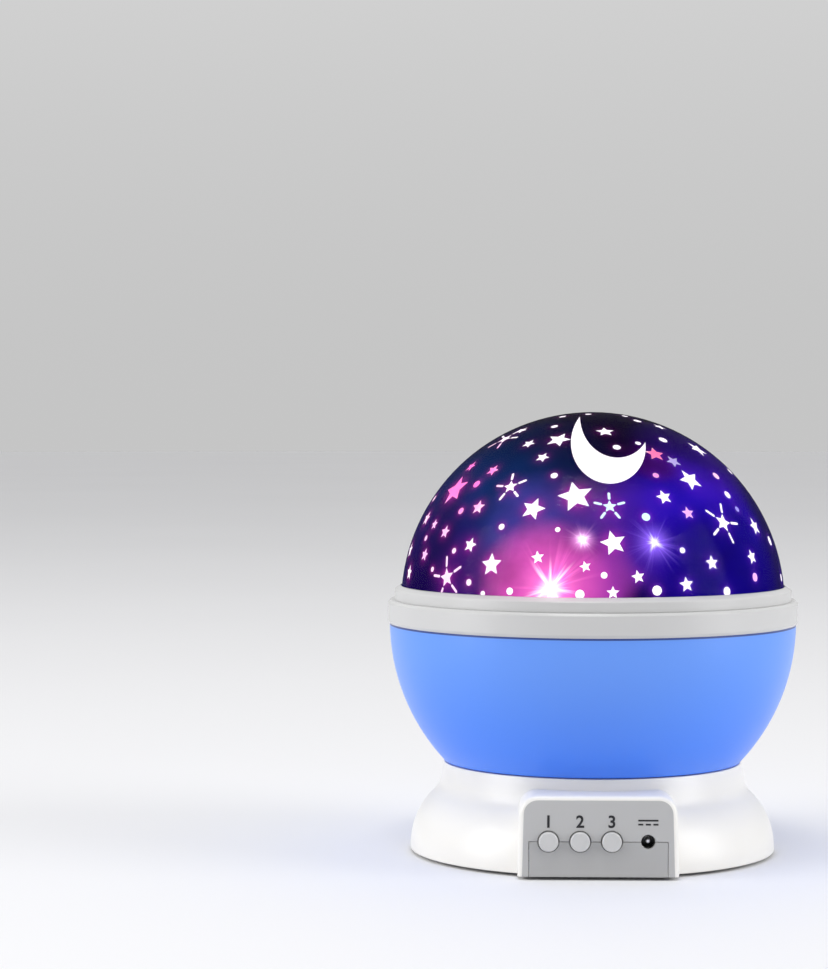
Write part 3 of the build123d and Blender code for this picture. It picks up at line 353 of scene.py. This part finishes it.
def make_star_film(ink, light):
    """One sheet under the clear dome: printed ink with clear windows that let the light out."""
    windows = whole_pattern()
    low = math.asin((dome_low[2] - dome_centre.z) / film_radius)
    points = film_grid(low)
    faces = []
    for outline, _, _ in windows:
        start = len(points)
        points += [flat(p) for p in outline]
        faces.append(list(range(start, start + len(outline))))
    places, _, triangles, _, _, sources = delaunay_2d_cdt(points, [], faces, 0, map_tolerance, True)
    directions = [unflat(p) for p in places]
    mesh = bpy.data.meshes.new("star_film_print")
    mesh.from_pydata([dome_centre + d * film_radius for d in directions], [], [list(t) for t in triangles])
    mesh.materials.append(ink)
    mesh.materials.append(light)
    for polygon, source in zip(mesh.polygons, sources):
        polygon.material_index = 1 if source else 0
        polygon.use_smooth = True
    add_halo(mesh, directions, windows)
    piece = bpy.data.objects.new("star_film_print", mesh)
    bpy.context.scene.collection.objects.link(piece)
    solid = piece.modifiers.new("thickness", "SOLIDIFY")
    solid.thickness = film_thickness
    solid.offset = -1
    return piece


def add_halo(mesh, directions, windows):
    """Store how much light spills into the ink beside the windows."""
    spots = np.array([d for d in directions])
    halo = np.zeros(len(spots))
    radius = film_radius / MM
    for outline, centre, size in windows:
        centres = [centre] if centre else outline[::3]
        strength = 1.0 if centre else moon_halo
        fall = halo_reach + size * 0.3
        peak = min(1.0, 0.5 + size * 0.25)
        for middle in centres:
            distance = np.arccos(np.clip(spots @ np.array(middle), -1, 1)) * radius
            beyond = np.maximum(distance - size, 0)
            halo += strength * np.exp(-beyond / fall) * peak
    layer = mesh.attributes.new("halo", "FLOAT", "POINT")
    layer.data.foreach_set("value", np.minimum(halo, halo_limit).astype(np.float32))


# ---------------------------------------------------------------- light of the dome
def film_direction(tree):
    """Unit vector from the dome's centre to the point that is shaded."""
    place = vector_calc(tree, "SUBTRACT", object_place(tree), dome_centre)
    return vector_calc(tree, "NORMALIZE", place)


def film_height(elevation):
    """Upward part of the unit vector at an elevation in degrees."""
    return math.sin(math.radians(elevation))


def twice(tree, way, axis, side=None):
    """Part of a direction along an axis, the same for both halves of the film.

    Returns two sockets: that part, and the side, +1 on the axis's half and -1 on the other."""
    level = Vector((axis.x, axis.y, 0))
    across = vector_calc(tree, "DOT_PRODUCT", way, level, result="Value")
    if side is None:
        side = calc(tree, "SIGN", across)
    upright = vector_calc(tree, "DOT_PRODUCT", way, Vector((0, 0, axis.z)), result="Value")
    return calc(tree, "ADD", calc(tree, "MULTIPLY", across, side), upright), side


def spot(tree, way, azimuth, elevation, inner, outer):
    """Soft round patch that fades between two angles in degrees."""
    cosine, _ = twice(tree, way, direction(azimuth, elevation))
    return span(tree, cosine, math.cos(math.radians(outer)), math.cos(math.radians(inner)))


# Glow of the ink: azimuth, elevation, inner and outer angle, shown colour, share
ink_patches = [
    (-42, 40, 4, 40, (0, 46, 100), 0.85),
    (-60, 16, 4, 28, (24, 4, 78), 0.75),
    (-42, 8, 3, 20, (70, 24, 118), 0.75),
    (-19, 27, 3, 22, (66, 62, 156), 0.75),
    (8, 27, 4, 22, (96, 44, 158), 0.65),
    (38, 28, 5, 34, (30, 6, 176), 0.85),
    (54, 50, 4, 24, (66, 18, 172), 0.55),
    (46, 8, 5, 30, (6, 0, 110), 0.85),
    (-3, 10, 3, 16, (156, 56, 160), 0.85),
    (-17, 9, 4, 22, (230, 90, 190), 0.95),
    (26, 50, 2, 10, (92, 6, 96), 0.5),
]
# Lamps seen through the ink: azimuth, elevation, core and halo angle, shown halo colour, strength of rays
bursts = [
    (-14, 8, 5.8, 16, (250, 128, 196), 1.1),
    (-5, 22.5, 2.6, 6.5, (255, 176, 240), 0.4),
    (17.5, 21.5, 2.4, 10, (156, 112, 240), 0.8),
]
# Tint of the clear windows: azimuth, elevation, inner and outer angle, shown colour
window_tints = [
    (-62, 40, 8, 22, (255, 78, 200)),
    (-64, 22, 4, 14, (255, 178, 244)),
    (31, 52.5, 2.4, 4, (235, 56, 146)),
    (38, 49, 2, 4, (150, 130, 200)),
    (57.5, 31, 2, 5, (120, 96, 214)),
    (24.5, 44, 1, 3, (226, 120, 204)),
    (32, 30.5, 2, 4, (226, 150, 228)),
    (58, 43, 1.5, 4, (255, 190, 226)),
    (55, 10, 1.5, 4, (248, 160, 250)),
    (16, 29.5, 1.5, 3, (206, 240, 255)),
    (4, 33, 3, 8, (206, 236, 255)),
    (-50, 11, 6, 12, (255, 206, 246)),
]
burst_white = (1.3, 1.3, 1.3, 1)
nearly_one = 0.999999       # keeps the arc cosine defined at the middle of a burst
tiny_angle = 1e-4           # keeps the division defined there
noise_slice = 0.37          # gives each burst its own rays


def burst_light(tree, way, azimuth, elevation, core, halo, colour, ray_share):
    """White core with short spikes, coloured halo and thin rays round one lamp."""
    out, east, north = film_axes(azimuth, elevation)
    near, side = twice(tree, way, out)
    across, _ = twice(tree, way, east, side)
    up, _ = twice(tree, way, north, side)
    distance = calc(tree, "ARCCOSINE", calc(tree, "MINIMUM", near, nearly_one))
    core = math.radians(core)
    reach = math.radians(halo)
    level = calc(tree, "DIVIDE", across, calc(tree, "ADD", distance, tiny_angle))
    rise = calc(tree, "DIVIDE", up, calc(tree, "ADD", distance, tiny_angle))
    around = node(tree, "ShaderNodeCombineXYZ", {0: level, 1: rise, 2: azimuth * noise_slice}).outputs[0]
    streak = span(tree, noise(tree, around, 5.5, detail=2.0, roughness=0.6), 0.5, 0.78)
    fade = span(tree, distance, reach * 1.15, 0.0)
    painted_glow = calc(tree, "POWER", span(tree, distance, reach, 0.0), 2.6)
    rays = calc(tree, "MULTIPLY", calc(tree, "MULTIPLY", streak, fade), ray_share)
    halo_light = calc(tree, "ADD", painted_glow, calc(tree, "MULTIPLY", rays, 0.75))
    wedge = noise(tree, around, 2.9, detail=2.0, roughness=0.6)
    spike = span(tree, wedge, 0.4, 0.72, out_low=0.9, out_high=1.0 + ray_share * 1.1)
    white = calc(tree, "POWER", span(tree, calc(tree, "DIVIDE", distance, spike), core, core * 0.1), 1.7)
    tinted = blend_colour(tree, halo_light, rgb(0, 0, 0), rgb(*colour))
    return blend_colour(tree, white, tinted, burst_white)


def ink_material():
    """Printed ink, lit from behind by the coloured lamps."""
    material, tree, surface = new_material("star_print_ink")
    way = film_direction(tree)
    height = node(tree, "ShaderNodeSeparateXYZ", {0: way}).outputs["Z"]
    top = span(tree, height, film_height(30), film_height(66))
    colour = blend_colour(tree, top, rgb(16, 4, 74), rgb(4, 0, 20))
    for azimuth, elevation, inner, outer, shown, share in ink_patches:
        patch = calc(tree, "MULTIPLY", spot(tree, way, azimuth, elevation, inner, outer), share)
        colour = blend_colour(tree, patch, colour, rgb(*shown))
    cloud = span(tree, noise(tree, way, 3.2, detail=4.0), 0.3, 0.7, out_low=0.72, out_high=1.18)
    dim = span(tree, height, film_height(34), film_height(62), out_low=1.0, out_high=0.4)
    shade = calc(tree, "MULTIPLY", cloud, dim)
    scaled = node(tree, "ShaderNodeVectorMath", {0: colour, "Scale": shade}, operation="SCALE")
    colour = scaled.outputs[0]
    halo = node(tree, "ShaderNodeAttribute", attribute_name="halo").outputs["Fac"]
    spill_share = calc(tree, "SUBTRACT", 0.42, calc(tree, "MULTIPLY", top, 0.3))
    spill = calc(tree, "MULTIPLY", halo, spill_share)
    across = node(tree, "ShaderNodeSeparateXYZ", {0: way}).outputs["X"]
    spill_colour = blend_colour(tree, span(tree, across, -0.1, 0.45), rgb(222, 58, 190), rgb(128, 60, 240))
    colour = blend_colour(tree, spill, colour, spill_colour)
    for burst in bursts:
        colour = vector_calc(tree, "ADD", colour, burst_light(tree, way, *burst))
    inputs = {"Base Color": (0.004, 0.001, 0.02, 1), "Roughness": 0.6, "Specular IOR Level": 0.0,
              "Emission Color": colour, "Emission Strength": 1.0}
    shader = node(tree, "ShaderNodeBsdfPrincipled", inputs)
    tree.links.new(shader.outputs[0], surface)
    return material


def window_material():
    """Clear windows of the film, lit by the lamps."""
    material, tree, surface = new_material("star_print_window")
    way = film_direction(tree)
    colour = blend_colour(tree, noise(tree, way, 9.0), rgb(255, 250, 255), rgb(255, 240, 254))
    for azimuth, elevation, inner, outer, shown in window_tints:
        colour = blend_colour(tree, spot(tree, way, azimuth, elevation, inner, outer), colour, rgb(*shown))
    inputs = {"Base Color": (0.3, 0.3, 0.3, 1), "Roughness": 0.5, "Emission Color": colour,
              "Emission Strength": 1.1}
    shader = node(tree, "ShaderNodeBsdfPrincipled", inputs)
    tree.links.new(shader.outputs[0], surface)
    return material


clear_ior = 1.46
clear_tint = (0.99, 0.99, 1, 1)
clear_rough = 0.03
clear_gloss = 0.07          # share of the full reflection: the clear plastic mirrors little of the room


def clear_material(name):
    """Clear moulded plastic with faint flow lines."""
    material, tree, surface = new_material(name)
    place = object_place(tree)
    cloud = noise(tree, place, 60.0)
    smear = span(tree, cloud, 0.35, 0.65, out_low=clear_rough * 0.7, out_high=clear_rough * 1.3)
    flow = bump(tree, noise(tree, place, 30.0, detail=2.0), 0.02, flow_height)
    inputs = {"Color": clear_tint, "IOR": clear_ior, "Roughness": 0.0}
    inside = node(tree, "ShaderNodeBsdfRefraction", inputs)
    sheen = node(tree, "ShaderNodeBsdfGlossy", {"Roughness": smear, "Normal": flow})
    edge = node(tree, "ShaderNodeFresnel", {"IOR": clear_ior}).outputs[0]
    share = calc(tree, "MULTIPLY", edge, clear_gloss)
    mix = node(tree, "ShaderNodeMixShader", {0: share, 1: inside.outputs[0], 2: sheen.outputs[0]})
    tree.links.new(mix.outputs[0], surface)
    return material


# ---------------------------------------------------------------- materials of the solid pieces
shadow_line_top = 0.45 * MM        # the painted shadow line under the collar, measured down from the bowl's rim
shadow_line_foot = 0.75 * MM
face_depth = 0.1 * MM       # the panel's face reaches this far behind the cover's tongue
face_turn = -0.99           # the Y part of the face's normal is below this
pin_radius = 0.7 * MM


def bowl_material():
    """Blue gloss plastic, paler towards the rim from a painted glow, with a painted shadow line under the
    collar.
    """
    material, tree, surface = new_material("bowl_blue_gloss")
    place = object_place(tree)
    height = node(tree, "ShaderNodeSeparateXYZ", {0: place}).outputs["Z"]
    rise = span(tree, height, bowl_low[2], bowl_high[2])
    colour = blend_colour(tree, noise(tree, place, 14.0), rgb(68, 127, 230), rgb(72, 131, 234))
    # painted glow: emission, stronger towards the rim, makes the bowl paler there
    painted_glow = blend_colour(tree, rise, rgb(0, 32, 104), rgb(70, 88, 104))
    # painted shadow: a dark line in the colour and in the glow just under the collar
    shadow_line = span(tree, height, bowl_high[2] - shadow_line_foot, bowl_high[2] - shadow_line_top)
    colour = blend_colour(tree, shadow_line, colour, rgb(40, 62, 130))
    painted_glow = blend_colour(tree, shadow_line, painted_glow, rgb(8, 16, 44))
    gloss = span(tree, noise(tree, place, 30.0), 0.0, 1.0, out_low=0.31, out_high=0.35)
    inputs = {"Base Color": colour, "Roughness": gloss, "Emission Color": painted_glow, "Emission Strength": 1.0}
    shader = node(tree, "ShaderNodeBsdfPrincipled", inputs)
    tree.links.new(shader.outputs[0], surface)
    return material


def housing_material():
    """White gloss housing; the flat face of the control panel is painted grey as shade and is satin."""
    material, tree, surface = new_material("housing_white_gloss")
    place = object_place(tree)
    normal = node(tree, "ShaderNodeNewGeometry").outputs["True Normal"]
    depth = node(tree, "ShaderNodeSeparateXYZ", {0: place}).outputs["Y"]
    turn = node(tree, "ShaderNodeSeparateXYZ", {0: normal}).outputs["Y"]
    front = calc(tree, "LESS_THAN", depth, panel_y + face_depth)
    flat_face = calc(tree, "LESS_THAN", turn, face_turn)
    face = calc(tree, "MULTIPLY", front, flat_face)
    cloud = noise(tree, place, 22.0)
    white = blend_colour(tree, cloud, rgb(242, 240, 235), rgb(240, 238, 233))
    # painted shade: grey on the panel's flat face stands for shade on the white housing
    face_shade_grey = blend_colour(tree, cloud, rgb(190, 190, 190), rgb(187, 187, 187))
    colour = blend_colour(tree, face, white, face_shade_grey)
    gloss = span(tree, noise(tree, place, 30.0), 0.0, 1.0, out_low=0.27, out_high=0.31)
    rough = calc(tree, "ADD", gloss, calc(tree, "MULTIPLY", face, 0.25))
    inputs = {"Base Color": colour, "Roughness": rough, "Normal": soft_edges(tree, shell_edge)}
    shader = node(tree, "ShaderNodeBsdfPrincipled", inputs)
    tree.links.new(shader.outputs[0], surface)
    return material


def metal(name, colour, rough=0.3, scale=220.0):
    """Worked metal with fine uneven gloss."""
    material, tree, surface = new_material(name)
    place = object_place(tree)
    cloud = noise(tree, place, scale)
    dull = tuple(channel * 0.85 for channel in colour[:3]) + (1.0,)
    tone = blend_colour(tree, cloud, colour, dull)
    gloss = span(tree, cloud, 0.3, 0.7, out_low=rough * 0.75, out_high=rough * 1.3)
    fine = bump(tree, noise(tree, place, scale * 6, detail=2.0), 0.03, grain_height)
    inputs = {"Base Color": tone, "Roughness": gloss, "Normal": fine, "Metallic": 1.0}
    shader = node(tree, "ShaderNodeBsdfPrincipled", inputs)
    tree.links.new(shader.outputs[0], surface)
    return material


def dress(material, *names):
    """Give CAD nodes a material."""
    for name in names:
        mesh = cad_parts[name].data
        mesh.materials.clear()
        mesh.materials.append(material)


def dress_nodes():
    """Materials of all CAD nodes."""
    screws = ["cover_screws", "board_screws", "motor_screws", "turntable_screws", "column_screws",
              "reflector_screws"]
    dress(housing_material(), "base_shell")
    dress(bowl_material(), "bowl")
    # painted shade: the white rings get a grey colour that stands for the darker room they mirror
    dress(plastic("ring_white_gloss", rgb(203, 203, 203), 0.24, tint=0.985, spread=0.02, edge=shell_edge),
          "collar_ring", "dome_ring")
    dress(plastic("cover_grey_satin", rgb(180, 180, 180), 0.45, edge=cover_edge),
          "bottom_cover", "battery_door")
    dress(clear_material("clear_plastic"), "clear_dome", "lamp_cap")
    dress(plastic("reflector_white_satin", rgb(238, 238, 240), 0.5), "reflector_plate", "lamp_column",
          "lamp_holder")
    dress(plastic("button_white_satin", rgb(206, 206, 206), 0.3, edge=button_edge),
          *[f"button_cap_{number}" for number in (1, 2, 3)])
    dress(plastic("black_plastic_matte", rgb(24, 24, 27), 0.5, grain_depth=0.05), "controller_chip",
          *[f"switch_plunger_{number}" for number in (1, 2, 3)],
          *[f"tact_switch_{number}" for number in (1, 2, 3)])
    dress(plastic("rubber_dark", rgb(48, 48, 52), 0.75, grain_depth=0.15),
          *[f"rubber_foot_{number}" for number in (1, 2, 3, 4)])
    dress(metal("screw_steel", rgb(186, 188, 194), 0.32), *screws)
    dress(metal("spring_steel", rgb(200, 200, 204), 0.25),
          "battery_contacts", "retaining_clip", "motor_shaft", "idler_axle")
    dress(metal("motor_can", rgb(176, 178, 182), 0.38), "gear_motor")
    dress(plastic("nylon_natural", rgb(228, 222, 206), 0.42),
          "idler_gear", "drive_pinion", "turntable", "thrust_washer")
    dress(plastic("board_solder_mask", rgb(22, 96, 48), 0.35, tint=0.85), "control_board", "lamp_board")
    dress(plastic("cell_jacket", rgb(58, 60, 66), 0.3, tint=0.9, coat=0.3),
          *[f"battery_cell_{number}" for number in (1, 2, 3, 4)])
    dress(plastic("lead_sleeve_red", rgb(170, 30, 28), 0.5, tint=0.9),
          "lamp_lead", "motor_lead", "battery_lead")
    lenses = {"white": rgb(250, 250, 240), "red": rgb(230, 60, 54), "green": rgb(70, 214, 96),
              "blue": rgb(72, 92, 236)}
    for name, shown in lenses.items():
        dress(plastic(f"lamp_{name}_lens", shown, 0.15, coat=0.5), f"lamp_{name}")
    dress(inlet_material(), "dc_inlet")


def inlet_material():
    """Black inlet body; the contact pin in its middle is bright metal."""
    material, tree, surface = new_material("inlet_black_and_metal")
    place = object_place(tree)
    low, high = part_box("dc_inlet")
    middle = Vector(((low[0] + high[0]) / 2, 0, (low[2] + high[2]) / 2))
    flat_place = vector_calc(tree, "MULTIPLY", place, Vector((1, 0, 1)))
    distance = vector_calc(tree, "DISTANCE", flat_place, middle, result="Value")
    pin = calc(tree, "LESS_THAN", distance, pin_radius)
    black = blend_colour(tree, noise(tree, place, 300.0), rgb(18, 18, 20), rgb(26, 26, 29))
    colour = blend_colour(tree, pin, black, rgb(225, 225, 228))
    inputs = {"Base Color": colour, "Roughness": 0.3, "Metallic": pin}
    shader = node(tree, "ShaderNodeBsdfPrincipled", inputs)
    tree.links.new(shader.outputs[0], surface)
    return material


# ---------------------------------------------------------------- print on the panel
print_depth = 0.06 * MM     # the ink stands this far out of the panel
print_swell = 0.11 * MM     # makes the strokes of the numerals wider
label_z = 17.4 * MM
numeral_size = 5.1 * MM
sign_width = 6.0 * MM       # direct-current sign: one line over three dashes
sign_line = 0.5 * MM
sign_rise = 0.6 * MM        # line and dashes above and below the sign's middle
dash_width = 1.5 * MM
dash_pitch = 2.25 * MM


def print_text(name, body, x, z, size, material):
    """Numeral printed on the panel, as thin raised ink."""
    curve = bpy.data.curves.new(name, "FONT")
    curve.body = body
    curve.size = size
    curve.align_x = "CENTER"
    curve.align_y = "CENTER"
    curve.extrude = print_depth / 2
    curve.offset = print_swell
    curve.resolution_u = 6
    text = bpy.data.objects.new(name + "_curve", curve)
    bpy.context.scene.collection.objects.link(text)
    bpy.context.view_layer.update()
    mesh = bpy.data.meshes.new_from_object(text.evaluated_get(bpy.context.evaluated_depsgraph_get()))
    bpy.data.objects.remove(text)
    mesh.transform(Matrix.Rotation(math.pi / 2, 4, "X"))
    mesh.transform(Matrix.Translation((x, panel_y - print_depth / 2, z)))
    add_piece(name, mesh, material, "base")


def add_piece(name, mesh, material, body):
    """Put a new mesh in the scene as a piece on a body."""
    mesh.materials.clear()
    mesh.materials.append(material)
    piece = bpy.data.objects.new(name, mesh)
    bpy.context.scene.collection.objects.link(piece)
    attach(piece, body)


def bar_mesh(name, bars):
    """Thin raised bars on the panel; each is x, z, width, height."""
    builder = bmesh.new()
    for x, z, width, height in bars:
        made = bmesh.ops.create_cube(builder, size=1.0)
        bmesh.ops.scale(builder, vec=(width, print_depth, height), verts=made["verts"])
        bmesh.ops.translate(builder, vec=(x, panel_y - print_depth / 2, z), verts=made["verts"])
    mesh = bpy.data.meshes.new(name)
    builder.to_mesh(mesh)
    builder.free()
    return mesh


def make_panel_print():
    """Numerals over the buttons and a direct-current sign over the inlet."""
    ink = plastic("panel_ink_black", rgb(30, 30, 34), 0.5)
    for number in (1, 2, 3):
        low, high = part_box(f"button_cap_{number}")
        x = (low[0] + high[0]) / 2
        print_text(f"button_numeral_{number}", str(number), x, label_z, numeral_size, ink)
    low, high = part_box("dc_inlet")
    x = (low[0] + high[0]) / 2
    bars = [(x, label_z + sign_rise, sign_width, sign_line)]
    bars += [(x + step * dash_pitch, label_z - sign_rise, dash_width, sign_line) for step in (-1, 0, 1)]
    add_piece("supply_sign", bar_mesh("supply_sign", bars), ink, "base")


# ---------------------------------------------------------------- build the looks
dress_nodes()
film = make_star_film(ink_material(), window_material())
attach(film, "dome")
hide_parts("star_film")
make_panel_print()


# ---------------------------------------------------------------- floor, light and camera
floor_radius = 8.0
light_target = (0.0, 0.0, 0.07)
world_front = 0.2           # strength of the surroundings on the side that the panel faces
world_back = 0.8

# Camera: place in metres, turn from the object's axis and dip below the horizon in degrees
camera_place = (-0.0306, -0.8753, 0.1408)
camera_turn = 3.71
camera_dip = 1.6
camera_lens = 102.17
camera_sensor = 36.0
camera_clip = (0.01, 50.0)


def soft_light(name, place, width, height, power):
    """Rectangular white studio light aimed at the lamp."""
    lamp = bpy.data.lights.new(name, "AREA")
    lamp.shape = "RECTANGLE"
    lamp.size = width
    lamp.size_y = height
    lamp.energy = power
    item = bpy.data.objects.new(name, lamp)
    item.location = place
    aim = Vector(light_target) - Vector(place)
    item.rotation_euler = aim.to_track_quat("-Z", "Y").to_euler()
    bpy.context.scene.collection.objects.link(item)


def make_floor():
    """Wide pale floor."""
    builder = bmesh.new()
    bmesh.ops.create_circle(builder, cap_ends=True, radius=floor_radius, segments=96)
    mesh = bpy.data.meshes.new("floor")
    builder.to_mesh(mesh)
    builder.free()
    paper = plastic("floor_paper", rgb(236, 236, 238), 0.7, sheen_scale=2.0, grain_depth=0.0)
    mesh.materials.append(paper)
    floor = bpy.data.objects.new("floor", mesh)
    bpy.context.scene.collection.objects.link(floor)


def make_world():
    """Pale surroundings, dimmer in front of the panel and near the horizon."""
    world = bpy.data.worlds.new("studio")
    world.use_nodes = True
    tree = world.node_tree
    way = node(tree, "ShaderNodeTexCoord").outputs["Generated"]
    parts = node(tree, "ShaderNodeSeparateXYZ", {0: way})
    shade = tree.nodes["Background"]
    shade.inputs["Color"].default_value = (1.0, 1.0, 1.0, 1.0)
    level = span(tree, parts.outputs["Y"], -0.95, 0.1, out_low=world_front, out_high=world_back)
    rise = span(tree, parts.outputs["Z"], 0.0, 0.4, out_low=0.7, out_high=1.0)
    tree.links.new(calc(tree, "MULTIPLY", level, rise), shade.inputs["Strength"])
    bpy.context.scene.world = world


def make_camera():
    """Camera at the front, as high as the top of the dome; the lamp stands right of the middle."""
    camera = bpy.data.cameras.new("camera")
    camera.lens = camera_lens
    camera.sensor_width = camera_sensor
    camera.clip_start, camera.clip_end = camera_clip
    item = bpy.data.objects.new("camera", camera)
    item.location = camera_place
    axis_turn = math.atan2(-item.location.x, -item.location.y)
    turn = axis_turn - math.radians(camera_turn)
    dip = math.radians(camera_dip)
    aim = Vector((math.sin(turn) * math.cos(dip), math.cos(turn) * math.cos(dip), -math.sin(dip)))
    item.rotation_euler = aim.to_track_quat("-Z", "Y").to_euler()
    bpy.context.scene.collection.objects.link(item)
    bpy.context.scene.camera = item


make_floor()
make_world()
soft_light("left_box", (-1.8, -0.6, 0.7), width=1.0, height=1.4, power=18.0)
soft_light("right_box", (1.8, -0.6, 0.7), width=1.0, height=1.4, power=18.0)
soft_light("top_box", (-0.2, -0.6, 2.0), width=0.8, height=0.8, power=12.0)
make_camera()
bpy.context.scene.view_settings.view_transform = "Standard"
